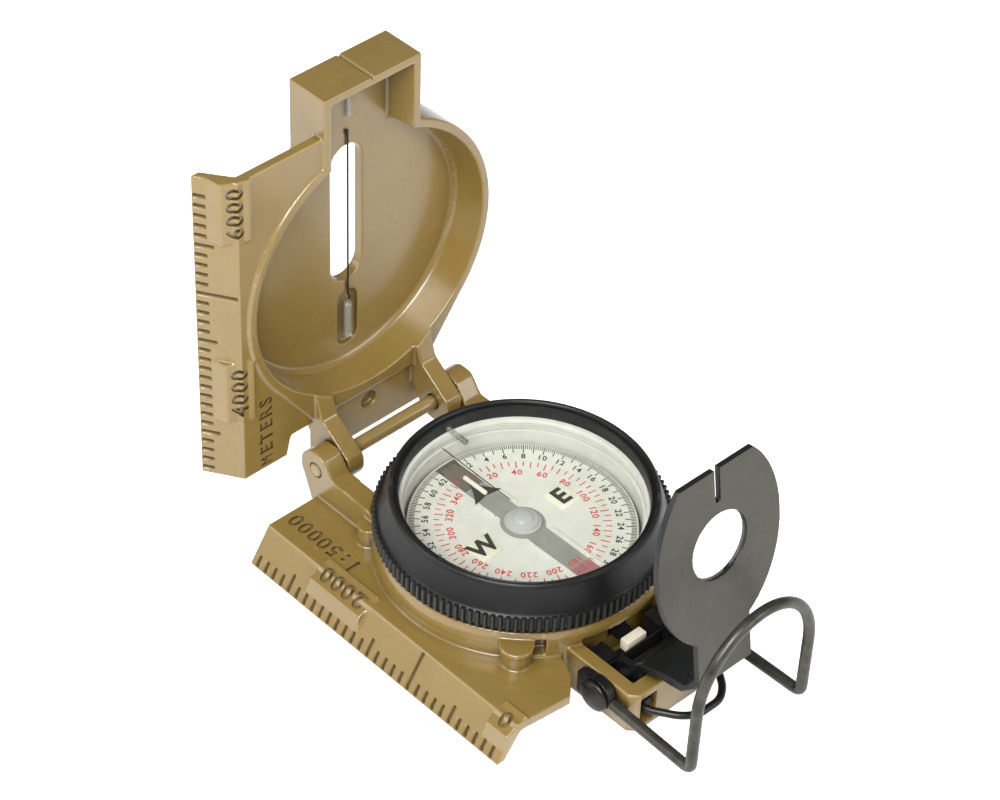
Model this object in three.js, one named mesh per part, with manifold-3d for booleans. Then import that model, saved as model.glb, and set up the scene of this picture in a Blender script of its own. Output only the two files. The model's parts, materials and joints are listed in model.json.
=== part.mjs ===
// Folding lensatic sighting compass, millimetres, +Z up.
// The origin is on the dial's axis at the level of the underside. +Y is the line of sight: the cover's
// hinge is on that side and the rear sight opposite. The straight-edge ruler runs along the -X side.
import * as THREE from 'three';
import { mergeVertices } from 'three/addons/utils/BufferGeometryUtils.js';
import Module from 'manifold-3d';

const wasm = await Module();
wasm.setup();

// ---- driving dimensions ---------------------------------------------------------------------------
const FINE = 72; // sides of the large round parts
const MEDIUM = 32; // sides of knuckles and bosses
const SMALL = 16; // sides of pins, wires and vials
const FIT = 0.2; // clearance between a pin and its bore

// cover hinge, and the straight-edge ruler shared by base and cover
const HINGE = { y: 33.2, z: 12.4, pin: 1.25, knuckle: 3.8, inner: 13.4, outer: 17.4 };
const RULER = { edgeX: -32.5, edgeZ: 0.3, foldX: -28.4, flatZ: 6.9, start: -28.9, sheet: 1.8 };

// base body and the round parts that stack in it, as radii and heights
const BODY = { r: 25.3, top: 12.0, neckR: 22.0, neckTop: 17.3, bore: 20.7, seat: 21.2, floor: 1.8 };
const CUP = { r: 20.5, wall: 0.5, bottom: 2.1, top: 15.8 };
const CRYSTAL = { r: 20.45, bottom: 16.2, top: 17.1 };
const GLASS = { r: 20.95, bottom: 18.25, top: 19.1 };
const BEZEL = { r: 25.5, knurlTop: 15.85, bottom: 12.6, top: 21.0, rimR: 22.95, boreR: 22.3, flangeR: 20.6, glassR: 21.15 };
const DIAL = { r: 19.6, bottom: 12.75, top: 13.2, heading: 1.2, hub: 2.2, hubHole: 2.4 };
const LEVER = { bottom: 5.5, top: 6.5, halfX: 1.5, padHalf: 4.6, eye: 1.8 };

// frame at the rear-sight end, and the axle that the sight and the thumb loop share
const FRAME = { halfX: 11.3, innerX: 8.6, end: -38.4, barBack: -35.4, floor: 1.2, top: 8.4 };
const AXLE = { y: -31.6, z: 5.8, r: 1.2 };
const SIGHT = { lean: 9.4, reach: 15.63, sheet: 1.2, foot: 5.96, neckX: 6.1, halfX: 13.8, halfZ: 18.5, centreZ: 31.4 };
SIGHT.topZ = SIGHT.foot + 40.4;
SIGHT.holeZ = SIGHT.foot + 25.65;
const LOOP = { wire: 1.0, halfX: 12.95, y: -53, shoulder: 18.0, archZ: 32.3 };
const BAIL = { wire: 0.7, halfX: 8.5, y: -37.0, z: 4.1, reach: -44.9 };

// cover, drawn open at a right angle to the base: depth along Y, height along Z
const COVER = {
  face: HINGE.y + HINGE.z - RULER.flatZ, rim: 38.1, floor: 44.8, back: 46.9,
  edge: HINGE.y + HINGE.z - RULER.edgeZ,
  centreZ: HINGE.z + HINGE.y, cupR: 27.0, cupInner: 25.4, floorR: 24.7,
  bottom: 13.1, top: 76.2, boxHalf: 10.5, boxTop: 83.8, wall: 1.5, lean: 1.24,
};
const SLOT = { halfX: 3.5, bottom: 38.2, top: 66.6 };

// ---- finishes ---------------------------------------------------------------------------------------
const FINISH = {
  paint: [0xa99258, 0.45, 0.25],
  black: [0x2c2f2e, 0.4, 0.1],
  blackSteel: [0x242322, 0.35, 0.6],
  greySteel: [0x5d5a50, 0.45, 0.5],
  steel: [0x9b9b98, 0.35, 0.9],
  brass: [0xb08d46, 0.35, 0.9],
  copper: [0xe6e2d4, 0.6, 0.1],
  card: [0xe6e3d6, 0.6, 0.0],
  glass: [0xdfe8e8, 0.05, 0.0],
  vial: [0xe4e2c4, 0.2, 0.0],
  nylon: [0xddd6bd, 0.5, 0.0],
  rubber: [0x1d1d1d, 0.8, 0.0],
  aluminium: [0xa8a9a8, 0.4, 0.9],
};

function material(name) {
  const [color, roughness, metalness] = FINISH[name];
  return new THREE.MeshStandardMaterial({ color, roughness, metalness });
}

// ---- joining and cutting ----------------------------------------------------------------------------
function merged(geometry) {
  const bare = geometry.clone();
  bare.deleteAttribute('normal');
  bare.deleteAttribute('uv');
  return mergeVertices(bare, 1e-4);
}

function solid(geometry) {
  const bare = merged(geometry);
  const mesh = new wasm.Mesh({
    numProp: 3,
    vertProperties: Float32Array.from(bare.attributes.position.array),
    triVerts: Uint32Array.from(bare.index.array),
  });
  return new wasm.Manifold(mesh);
}

function shaped(manifold) {
  const mesh = manifold.getMesh();
  const geometry = new THREE.BufferGeometry();
  geometry.setAttribute('position', new THREE.BufferAttribute(new Float32Array(mesh.vertProperties), 3));
  geometry.setIndex(new THREE.BufferAttribute(new Uint32Array(mesh.triVerts), 1));
  geometry.computeVertexNormals();
  return geometry;
}

function joined(...geometries) {
  return geometries.map(solid).reduce((whole, next) => whole.add(next));
}

function cut(whole, ...geometries) {
  return geometries.map(solid).reduce((rest, next) => rest.subtract(next), whole);
}

// ---- basic solids -----------------------------------------------------------------------------------
function shapeOf(points) {
  return new THREE.Shape(points.map(([a, b]) => new THREE.Vector2(a, b)));
}

// a prism whose outline is drawn in the XY plane
function prismZ(points, z0, z1) {
  const geometry = new THREE.ExtrudeGeometry(shapeOf(points), { depth: z1 - z0, bevelEnabled: false });
  return geometry.translate(0, 0, z0);
}

// a prism whose outline is drawn as (y, z) and that runs along X
function prismX(points, x0, x1) {
  const geometry = new THREE.ExtrudeGeometry(shapeOf(points), { depth: x1 - x0, bevelEnabled: false });
  const turn = new THREE.Matrix4().makeBasis(
    new THREE.Vector3(0, 1, 0), new THREE.Vector3(0, 0, 1), new THREE.Vector3(1, 0, 0));
  return geometry.applyMatrix4(turn).translate(x0, 0, 0);
}

// a prism whose outline is drawn as (x, z) and that runs along Y
function prismY(points, y0, y1) {
  const flipped = points.map(([x, z]) => [z, x]);
  const geometry = new THREE.ExtrudeGeometry(shapeOf(flipped), { depth: y1 - y0, bevelEnabled: false });
  const turn = new THREE.Matrix4().makeBasis(
    new THREE.Vector3(0, 0, 1), new THREE.Vector3(1, 0, 0), new THREE.Vector3(0, 1, 0));
  return geometry.applyMatrix4(turn).translate(0, y0, 0);
}

function box(x0, x1, y0, y1, z0, z1) {
  const geometry = new THREE.BoxGeometry(x1 - x0, y1 - y0, z1 - z0);
  return geometry.translate((x0 + x1) / 2, (y0 + y1) / 2, (z0 + z1) / 2);
}

function cylinderZ(x, y, z0, z1, r, sides = MEDIUM) {
  const geometry = new THREE.CylinderGeometry(r, r, z1 - z0, sides);
  return geometry.rotateX(Math.PI / 2).translate(x, y, (z0 + z1) / 2);
}

function cylinderX(y, z, x0, x1, r, sides = MEDIUM) {
  const geometry = new THREE.CylinderGeometry(r, r, x1 - x0, sides);
  return geometry.rotateZ(Math.PI / 2).translate((x0 + x1) / 2, y, z);
}

function cylinderY(x, z, y0, y1, r, sides = MEDIUM) {
  const geometry = new THREE.CylinderGeometry(r, r, y1 - y0, sides);
  return geometry.translate(x, (y0 + y1) / 2, z);
}

// a solid of revolution about Z from a closed (radius, height) profile, drawn anticlockwise
function turned(profile, sides = FINE) {
  const loop = [...profile, profile[0]].map(([r, z]) => new THREE.Vector2(r, z));
  return new THREE.LatheGeometry(loop, sides).rotateX(Math.PI / 2);
}

function ring(inner, outer, z0, z1, sides = FINE) {
  return turned([[inner, z0], [outer, z0], [outer, z1], [inner, z1]], sides);
}

// a round wire that follows a path
function wire(path, r, steps, sides = SMALL) {
  const circle = new THREE.Shape().absarc(0, 0, r, 0, 2 * Math.PI, false);
  return new THREE.ExtrudeGeometry(circle, { steps, extrudePath: path, curveSegments: sides / 2, bevelEnabled: false });
}

function arc(cx, cy, r, from, to, steps) {
  return Array.from({ length: steps + 1 }, (_, i) => {
    const a = THREE.MathUtils.degToRad(from + ((to - from) * i) / steps);
    return [cx + r * Math.cos(a), cy + r * Math.sin(a)];
  });
}

const mirrored = (points) => points.map(([a, b]) => [-a, b]).reverse();

// ---- base -------------------------------------------------------------------------------------------
function wingSection() {
  const { edgeX, edgeZ, foldX, flatZ, sheet } = RULER;
  return [
    [edgeX, edgeZ], [edgeX + sheet, edgeZ], [foldX + 1.1, flatZ - sheet], [-12, flatZ - sheet],
    [-12, flatZ], [foldX, flatZ],
  ];
}

function baseWing() {
  const end = HINGE.y - 0.5;
  const footprint = [
    [RULER.edgeX, RULER.start], [RULER.foldX, RULER.start], [-17.6, -30.0], [-13.9, -26.6], [-12, -22],
    [-12, end], [RULER.edgeX, end],
  ];
  const sheet = solid(prismY(wingSection(), RULER.start - 2, end));
  return sheet.intersect(solid(prismZ(footprint, -1, RULER.flatZ + 1)));
}

function hingeArm(side) {
  const x0 = side < 0 ? -HINGE.outer : HINGE.inner;
  const x1 = side < 0 ? -HINGE.inner : HINGE.outer;
  const outline = [
    [15, RULER.flatZ - 1.8], [HINGE.y + 1, RULER.flatZ - 1.8],
    ...arc(HINGE.y, HINGE.z, HINGE.knuckle, -30, 120, 12),
    [28.6, 12.6], [15, 12.2],
  ];
  const bezelSweep = cylinderZ(0, 0, BODY.top, 20, BEZEL.r + 0.3, FINE);
  return cut(solid(prismX(outline, x0, x1)), bezelSweep);
}

// half-round bosses on the wall, which hold the ends of the click spring
function boss(angle, r, top) {
  const a = THREE.MathUtils.degToRad(angle);
  return solid(cylinderZ((BODY.r + 0.7) * Math.cos(a), (BODY.r + 0.7) * Math.sin(a), RULER.flatZ - 1, top, r, SMALL));
}

function sightFrame() {
  const { halfX, end, top } = FRAME;
  const outline = [
    [-halfX, -20], [-halfX, end + 1.2], [-halfX + 1.2, end], [halfX - 1.2, end], [halfX, end + 1.2], [halfX, -20],
  ];
  return solid(prismZ(outline, 0, top));
}

function baseCasting() {
  const body = joined(
    cylinderZ(0, 0, 0, BODY.top, BODY.r, FINE),
    cylinderZ(0, 0, BODY.top - 1, BODY.neckTop, BODY.neckR, FINE),
  );
  const outside = [baseWing(), hingeArm(-1), hingeArm(1), sightFrame(), boss(134, 2.0, 10.6), boss(-135.5, 2.7, 10.9)]
    .reduce((whole, next) => whole.add(next), body);
  const slotAngle = THREE.MathUtils.degToRad(-127.4);
  const springSlot = box(-1.6, 1.6, -0.9, 0.9, 8.0, 10.9)
    .rotateZ(slotAngle).translate(25.6 * Math.cos(slotAngle), 25.6 * Math.sin(slotAngle), 0);
  const bailSlots = [-1, 1].flatMap((side) => [
    box(Math.min(side * 7.5, side * 9.5), Math.max(side * 7.5, side * 9.5), FRAME.end - 1, FRAME.barBack - 0.3, 0.9, 7.3),
    cylinderX(BAIL.y, BAIL.z, Math.min(side * 5, side * 7.6), Math.max(side * 5, side * 7.6), BAIL.wire + FIT, SMALL),
  ]);
  return shaped(cut(
    outside,
    cylinderZ(0, 0, BODY.floor, BODY.neckTop + 1, BODY.bore, FINE),
    cylinderZ(0, 0, CUP.top, BODY.neckTop + 1, BODY.seat, FINE),
    cylinderZ(0, 0, -1, 0.75, 19.4, FINE),
    box(-FRAME.innerX, FRAME.innerX, FRAME.barBack, -22.5, FRAME.floor, FRAME.top + 1),
    box(-2.1, 2.1, -26, -20, LEVER.bottom - 0.6, LEVER.top + 0.7),
    cylinderX(HINGE.y, HINGE.z, -18, 18, HINGE.pin + FIT, SMALL),
    cylinderX(AXLE.y, AXLE.z, -12, 12, AXLE.r + FIT, SMALL),
    springSlot,
    ...bailSlots,
  ).subtract(solid(box(-HINGE.inner, HINGE.inner, 26.2, 40, 4, 20))));
}

// ---- dial well --------------------------------------------------------------------------------------
function dampingCup() {
  const { r, wall, bottom, top } = CUP;
  const shell = turned([[1.5, bottom], [r, bottom], [r, top], [r - wall, top], [r - wall, bottom + 0.6], [1.5, bottom + 0.6]]);
  return shaped(cut(solid(shell), box(-2.1, 2.1, -22, -18, LEVER.bottom - 0.6, LEVER.top + 0.7)));
}

function pivotPost() {
  return turned([[0, BODY.floor + 0.1], [1.2, BODY.floor + 0.1], [1.2, 10.4], [0.3, 12.2], [0, 13.0]], SMALL);
}

function liftLever() {
  const { bottom, top, halfX, padHalf, eye } = LEVER;
  return shaped(joined(
    box(-halfX, halfX, -24.6, -3, bottom, top),
    ring(eye, 3.8, bottom, top, MEDIUM),
    box(-padHalf, padHalf, -28.0, -24.5, 4.8, 8.4),
  ));
}

// the sleeve that the lever pushes up against the hub of the dial
function liftSleeve() {
  const foot = LEVER.top + 0.3;
  return turned([[1.45, foot], [3.4, foot], [3.4, foot + 0.6], [2.0, foot + 0.6], [2.0, 11.0], [1.45, 11.0]], SMALL);
}

// ---- dial -------------------------------------------------------------------------------------------
function dialMagnet() {
  const bar = joined(box(-1.9, 1.9, -17.6, 17.6, 11.5, 12.6), cylinderZ(0, 0, 11.5, 12.6, 3.6));
  return shaped(cut(bar, cylinderZ(0, 0, 11, 13, DIAL.hubHole)));
}

function jewelCap() {
  const dome = arc(0, DIAL.top + 0.1, 3.3, 6, 84, 6).map(([r, z]) => [r, DIAL.top + 0.1 + (z - DIAL.top - 0.1) * 0.55]);
  return turned([
    [1.6, 11.3], [DIAL.hub, 11.3], [DIAL.hub, DIAL.top + 0.1], [3.3, DIAL.top + 0.1],
    ...dome, [0, 15.1], [0, 13.9], [1.6, 13.5],
  ], MEDIUM);
}

// ---- bezel ------------------------------------------------------------------------------------------
function bezelRing() {
  const { r, knurlTop, bottom, top, rimR, boreR, flangeR, glassR } = BEZEL;
  return turned([
    [boreR, bottom], [22.7, bottom], [22.7, bottom + 1.2], [24.0, bottom + 1.2], [24.0, bottom], [r, bottom],
    [r, knurlTop], [r - 0.45, knurlTop + 0.3], [rimR, top - 0.3], [rimR - 0.25, top], [rimR - 0.7, top],
    [21.8, top - 0.6], [21.5, top - 0.6], [glassR, 20.0], [glassR, 18.2], [flangeR, 18.2],
    [flangeR, 17.6], [boreR, 17.6],
  ]);
}

// ---- rear sight, drawn upright in a frame centred on its axle -----------------------------------------
function sightOutline() {
  const { halfX, halfZ, centreZ, neckX, topZ, foot } = SIGHT;
  const topAngle = THREE.MathUtils.radToDeg(Math.asin((topZ - centreZ) / halfZ));
  const neckAngle = THREE.MathUtils.radToDeg(Math.acos(neckX / halfX));
  const steps = 20;
  const right = Array.from({ length: steps + 1 }, (_, i) => {
    const a = THREE.MathUtils.degToRad(-neckAngle + ((topAngle + neckAngle) * i) / steps);
    return [halfX * Math.cos(a), centreZ + halfZ * Math.sin(a)];
  });
  return [[neckX, foot], ...right, ...mirrored(right), [-neckX, foot]];
}

// the leg that the plate is bent from: its upper face, from the plate to the axle
const LEG_TOP = [[-SIGHT.reach, 7.5], [-13.5, 4.9], [-8.0, 4.65], [-3.4, 3.7]];

function leg() {
  const under = [[-3.4, 2.5], [-8.0, 3.45], [-13.1, 3.7], [-15.8, SIGHT.foot]];
  const foot = [[-SIGHT.reach - SIGHT.sheet, SIGHT.foot], [-SIGHT.reach - SIGHT.sheet, 7.5]];
  return solid(prismX([...LEG_TOP, ...under, ...foot], -SIGHT.neckX, SIGHT.neckX));
}

// the flanges down both sides of the leg, which end in eyes round the axle
function cheek(side) {
  const x0 = side < 0 ? -SIGHT.neckX : SIGHT.neckX - SIGHT.sheet;
  const outline = [
    ...LEG_TOP, [-1.35, 2.35], ...arc(0, 0, 2.7, 60, -180, 14), [-3.15, 2.1], [-7.7, 3.0], [-12.5, 3.05],
    [-SIGHT.reach - 0.3, SIGHT.foot - 0.5],
  ];
  return solid(prismX(outline, x0, x0 + SIGHT.sheet));
}

function rearSight() {
  const plate = solid(prismY(sightOutline(), -SIGHT.reach - SIGHT.sheet, -SIGHT.reach));
  return shaped(cut(
    plate.add(leg()).add(cheek(-1)).add(cheek(1)),
    cylinderY(0, SIGHT.holeZ, -20, -10, 6.1, MEDIUM),
    box(-0.55, 0.55, -20, -10, SIGHT.topZ - 6.2, SIGHT.topZ + 1),
    cylinderX(0, 0, -10, 10, AXLE.r + FIT, SMALL),
  ));
}

function sightLens() {
  const y = -SIGHT.reach - SIGHT.sheet / 2;
  const half = [[0, -0.75], [3.2, -0.62], [5.85, -0.35], [5.85, 0.35], [3.2, 0.62], [0, 0.75]];
  return turned(half, MEDIUM).rotateX(Math.PI / 2).translate(0, y, SIGHT.holeZ);
}

// torsion spring round the axle between a cheek and its rail
function sightSpring() {
  class Coil extends THREE.Curve {
    getPoint(t, target = new THREE.Vector3()) {
      const a = t * 2.5 * 2 * Math.PI;
      return target.set(6.75 + 1.3 * t, 1.85 * Math.cos(a), 1.85 * Math.sin(a));
    }
  }
  return wire(new Coil(), 0.2, 50, 6);
}

// ---- thumb loop, drawn in a frame centred on its axle -------------------------------------------------
function thumbLoop() {
  const y = LOOP.y - AXLE.y;
  const legZ = -0.5;
  const shoulder = LOOP.shoulder - AXLE.z;
  const archHeight = LOOP.archZ - LOOP.shoulder;
  const arch = Array.from({ length: 17 }, (_, i) => {
    const a = Math.PI * (1 - i / 16);
    return new THREE.Vector3(LOOP.halfX * Math.cos(a), y, shoulder + archHeight * Math.sin(a));
  });
  const leg = (side) => [
    new THREE.Vector3(side * 12.5, -1.5, legZ), new THREE.Vector3(side * 12.9, -9, legZ),
    new THREE.Vector3(side * LOOP.halfX, y + 1.6, legZ), new THREE.Vector3(side * LOOP.halfX, y + 0.35, legZ + 0.45),
    new THREE.Vector3(side * LOOP.halfX, y, legZ + 1.8),
  ];
  const points = [...leg(-1), ...arch, ...leg(1).reverse()];
  const path = new THREE.CatmullRomCurve3(points, false, 'centripetal');
  const eye = (side) => {
    const x0 = side < 0 ? -13.3 : 11.6;
    const tang = [...arc(0, 0, 3.2, -110, -60, 5), [4.4, -2.2], [4.4, 2.2], ...arc(0, 0, 3.2, 60, 200, 10)];
    return solid(prismX(tang, x0, x0 + 1.7));
  };
  const body = solid(wire(path, LOOP.wire, 90, 12)).add(eye(-1)).add(eye(1));
  return shaped(cut(body, cylinderX(0, 0, -15, 15, AXLE.r + FIT, SMALL)));
}

function pivotAxle() {
  const head = 13.55;
  return turned([
    [0, -head - 1.1], [1.5, -head - 0.95], [2.5, -head - 0.5], [2.9, -head], [AXLE.r, -head],
    [AXLE.r, head], [2.9, head], [2.5, head + 0.5], [1.5, head + 0.95], [0, head + 1.1],
  ], MEDIUM).rotateY(Math.PI / 2);
}

// ---- lanyard bail, drawn in a frame centred on its pivots ---------------------------------------------
function lanyardBail() {
  const reach = BAIL.reach - BAIL.y;
  const { halfX } = BAIL;
  const half = (side) => [
    new THREE.Vector3(side * 5.4, 0, 0), new THREE.Vector3(side * (halfX - 1), 0, 0),
    new THREE.Vector3(side * (halfX - 0.15), -0.2, 0), new THREE.Vector3(side * halfX, -1.4, 0),
    new THREE.Vector3(side * (halfX - 0.6), -3.6, 0), new THREE.Vector3(side * (halfX - 3.6), reach + 0.9, 0),
  ];
  const points = [...half(-1), new THREE.Vector3(0, reach, 0), ...half(1).reverse()];
  return wire(new THREE.CatmullRomCurve3(points, false, 'centripetal'), BAIL.wire, 44, 8);
}

// ---- cover ------------------------------------------------------------------------------------------
function coverPlate() {
  const { face, edge, bottom, top } = COVER;
  const { edgeX, foldX, sheet } = RULER;
  const section = [
    [edgeX, edge], [foldX, face], [0, face], [0, face + sheet], [foldX + 1.1, face + sheet], [edgeX + sheet, edge],
  ];
  const outline = [
    [edgeX, bottom], [-19.0, bottom], [-18.0, bottom + 4], [-13.2, bottom + 4], [-9, bottom + 14],
    [-9, top], [edgeX, top],
  ];
  return solid(prismZ(section, bottom, top)).intersect(solid(prismY(outline, face - 1, edge + 1)));
}

function coverArm(side) {
  const x0 = side < 0 ? -13.2 : 9.7;
  const outline = [
    ...arc(HINGE.y, HINGE.z, 4.0, 150, 345, 14), [41.0, 17.0], [44.8, 24.5], [COVER.rim + 0.1, 24.5], [36.1, 19.0],
  ];
  return solid(prismX(outline, x0, x0 + 3.5));
}

function coverCasting() {
  const { centreZ, cupR, cupInner, floorR, rim, floor, back, face, boxHalf, boxTop, wall } = COVER;
  const upright = (geometry) => geometry.rotateX(Math.PI / 2).translate(0, 0, centreZ);
  const cup = cylinderY(0, centreZ, rim, back, cupR, FINE);
  const hood = box(-boxHalf, boxHalf, rim, back, centreZ + 15, boxTop);
  const lip = box(-12, 12, face + 0.3, face + 2.3, 8.4, centreZ - 18);
  const skirt = prismY([[-13.2, 18], [-21.6, 29.6], [21.6, 29.6], [13.2, 18]], rim, 43.0);
  const whole = joined(cup, hood, lip, skirt).add(coverPlate()).add(coverArm(-1)).add(coverArm(1));
  const dish = upright(turned([[0, -floor], [floorR, -floor], [cupInner, -rim], [cupInner, -rim + 2], [0, -rim + 2]]));
  const slot = [
    ...arc(0, SLOT.top - SLOT.halfX, SLOT.halfX, 0, 180, 8), ...arc(0, SLOT.bottom + SLOT.halfX, SLOT.halfX, 180, 360, 8),
  ];
  const capsule = [...arc(0.1, 32.1, 2.2, 0, 180, 8), ...arc(0.1, 25.6, 2.2, 180, 360, 8)];
  return shaped(cut(
    whole,
    dish,
    box(-boxHalf + wall, boxHalf - wall, rim - 1, floor, centreZ + 10, boxTop - wall),
    prismY(slot, 40, 50),
    prismY(capsule, 44, floor + 0.9),
    box(-0.35, 0.35, 30, 50, boxTop - 0.6, boxTop + 1),
    cylinderY(0, 14.8, 35, face + 1.5, 1.75, SMALL),
    cylinderX(HINGE.y, HINGE.z, -14, 14, HINGE.pin + FIT, SMALL),
  ));
}

// the open cover leans back a little past upright
function reclined(geometry) {
  return geometry.translate(0, -HINGE.y, -HINGE.z)
    .rotateX(THREE.MathUtils.degToRad(-COVER.lean))
    .translate(0, HINGE.y, HINGE.z);
}

// ---- assembly ---------------------------------------------------------------------------------------
const group = new THREE.Group();

function place(name, geometry, finish, parent = group) {
  const mesh = new THREE.Mesh(geometry, material(finish));
  mesh.name = name;
  parent.add(mesh);
  return mesh;
}

place('base_casting', baseCasting(), 'paint');
place('base_bottom_plate', cylinderZ(0, 0, 0, 0.6, 19.1, FINE), 'aluminium');
place('damping_cup', dampingCup(), 'copper');
place('pivot_post', pivotPost(), 'brass');
place('lift_lever', liftLever(), 'nylon');
place('lift_sleeve', liftSleeve(), 'brass');
place('fixed_crystal', cylinderZ(0, 0, CRYSTAL.bottom, CRYSTAL.top, CRYSTAL.r, FINE), 'glass');
place('crystal_gasket', ring(20.6, 21.05, 16.0, CRYSTAL.top), 'rubber');
place('click_spring', ring(22.95, 23.75, BODY.top + 0.1, BEZEL.bottom + 0.9), 'steel');
place('bezel_ring', bezelRing(), 'black');
place('bezel_glass', cylinderZ(0, 0, GLASS.bottom, GLASS.top, GLASS.r, FINE), 'glass');
place('bezel_vial', cylinderY(1.4, GLASS.top + 0.6, 15.6, 20.8, 0.5, SMALL), 'vial');

const dial = new THREE.Group();
dial.rotation.z = THREE.MathUtils.degToRad(DIAL.heading);
group.add(dial);
place('dial_card', ring(DIAL.hubHole, DIAL.r, DIAL.bottom, DIAL.top), 'card', dial);
place('dial_magnet', dialMagnet(), 'steel', dial);
place('dial_jewel_cap', jewelCap(), 'glass', dial);
place('north_vial', cylinderY(0, 13.75, 8.6, 14.6, 0.45, SMALL), 'vial', dial);
place('east_mark', box(7.4, 11.4, -2.2, 2.2, 13.3, 13.5), 'vial', dial);
place('west_mark', box(-11.4, -7.4, -2.2, 2.2, 13.3, 13.5), 'vial', dial);

place('hinge_pin', cylinderX(HINGE.y, HINGE.z, -17.5, 17.5, HINGE.pin, SMALL), 'paint');
for (const [name, x0] of [['hinge_washer_left', -13.38], ['hinge_washer_right', 13.22]]) {
  place(name, ring(1.5, 3.0, x0, x0 + 0.16, SMALL).rotateY(Math.PI / 2).translate(0, HINGE.y, HINGE.z), 'blackSteel');
}
place('cover_casting', reclined(coverCasting()), 'paint');
place('sight_wire', reclined(cylinderZ(0, COVER.floor - 0.35, 35.4, 69.4, 0.2, 8)), 'blackSteel');
place('cover_lower_vial', reclined(cylinderZ(0.1, COVER.floor - 0.2, 25.2, 32.6, 0.8, SMALL)), 'vial');
place('cover_upper_vial', reclined(cylinderZ(0, COVER.floor - 0.65, 72.6, 76.6, 0.5, SMALL)), 'vial');

const axle = new THREE.Group();
axle.position.set(0, AXLE.y, AXLE.z);
group.add(axle);
place('pivot_axle', pivotAxle(), 'blackSteel', axle);
place('thumb_loop', thumbLoop(), 'greySteel', axle);
place('sight_spring', sightSpring(), 'steel', axle);

const sight = new THREE.Group();
sight.rotation.x = THREE.MathUtils.degToRad(-SIGHT.lean);
axle.add(sight);
place('rear_sight_plate', rearSight(), 'greySteel', sight);
place('magnifying_lens', sightLens(), 'glass', sight);

const bail = place('lanyard_bail', lanyardBail(), 'blackSteel');
bail.position.set(0, BAIL.y, BAIL.z);

export default group;
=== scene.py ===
"""Folding sighting compass: the visible model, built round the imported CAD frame.

Shapes are worked in millimetres in the frame's own axes (+Y is the line of sight, +Z is up, the origin is
under the dial's axis) and scaled to metres as each piece is finished. Joint axes come from the frame.
"""

import json
import math

import bmesh
import bpy
from mathutils import Matrix, Vector


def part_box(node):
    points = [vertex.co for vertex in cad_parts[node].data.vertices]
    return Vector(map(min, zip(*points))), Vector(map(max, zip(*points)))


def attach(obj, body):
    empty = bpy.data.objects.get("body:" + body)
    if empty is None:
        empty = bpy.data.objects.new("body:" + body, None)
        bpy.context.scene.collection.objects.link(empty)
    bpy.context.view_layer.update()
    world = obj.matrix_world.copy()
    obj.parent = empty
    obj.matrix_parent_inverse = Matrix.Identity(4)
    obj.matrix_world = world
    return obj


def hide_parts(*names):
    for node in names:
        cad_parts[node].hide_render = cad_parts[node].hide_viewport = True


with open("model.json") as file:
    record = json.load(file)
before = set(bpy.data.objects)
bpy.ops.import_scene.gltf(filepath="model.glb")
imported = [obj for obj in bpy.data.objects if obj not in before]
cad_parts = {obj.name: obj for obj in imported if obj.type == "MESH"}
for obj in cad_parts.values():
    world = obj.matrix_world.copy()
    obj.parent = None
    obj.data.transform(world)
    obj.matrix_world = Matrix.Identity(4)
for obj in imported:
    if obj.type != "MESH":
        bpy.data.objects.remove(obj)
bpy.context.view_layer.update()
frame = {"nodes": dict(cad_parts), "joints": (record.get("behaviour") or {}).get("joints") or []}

MM = 0.001

# ---- driving dimensions, in millimetres ---------------------------------------------------------------
JOINTS = {joint["name"]: joint for joint in frame["joints"]}


def joint_place(name):
    return Vector(JOINTS[name]["pos_m"]) / MM


def node_box(name):
    low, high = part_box(name)
    return low / MM, high / MM


HINGE = joint_place("cover_hinge")
AXLE = joint_place("rear_sight")
BAIL = joint_place("lanyard_bail")

# straight-edge ruler: a slope from its sharp edge up to the fold, then a flat
EDGE_X, EDGE_Z = -32.6, 0.2
FOLD_X, FLAT_Z = -28.4, 6.9
SLOPE_LENGTH = math.hypot(FOLD_X - EDGE_X, FLAT_Z - EDGE_Z)
SLOPE_X = (FOLD_X - EDGE_X) / SLOPE_LENGTH
SLOPE_Z = (FLAT_Z - EDGE_Z) / SLOPE_LENGTH
WING_SHEET = 1.8
WING_START = -28.9
WING_END = HINGE.y - 0.5
TICK_PITCH = 2.0
FIRST_TICK = HINGE.y - 30 * TICK_PITCH
TICK_START = 0.25
TICK_LENGTHS = {"short": 2.6, "medium": 3.85, "long": 7.6}

# base
BODY_R = 25.3
BODY_TOP = 12.0
NECK_R = 22.0
NECK_TOP = 17.3
WELL_R = 20.7
SEAT_R = 21.2
SEAT_Z = 15.85
FRAME_HALF = 11.3
FRAME_INNER = 8.6
FRAME_END = -38.4
BAR_BACK = -35.4
FRAME_TOP = 8.4
FRAME_FLOOR = 1.2

# cover, as drawn at a right angle to the base, before it is leaned back
COVER_FACE = HINGE.y + HINGE.z - FLAT_Z
COVER_EDGE = HINGE.y + HINGE.z - EDGE_Z
COVER_RIM = 38.1
COVER_FLOOR = 44.8
COVER_BACK = 46.9
CUP_Z = HINGE.z + HINGE.y
CUP_R = 27.0
CUP_INNER = 25.4
CUP_FLOOR_R = 24.7
PLATE_BOTTOM = 13.1
PLATE_TOP = 76.2
BOX_HALF = 10.5
BOX_TOP = 83.8
BOX_WALL = 1.5
SLOT_HALF = 3.5
SLOT_LOW, SLOT_HIGH = 38.2, 66.6
COVER_LEAN = math.radians(1.24)

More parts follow.
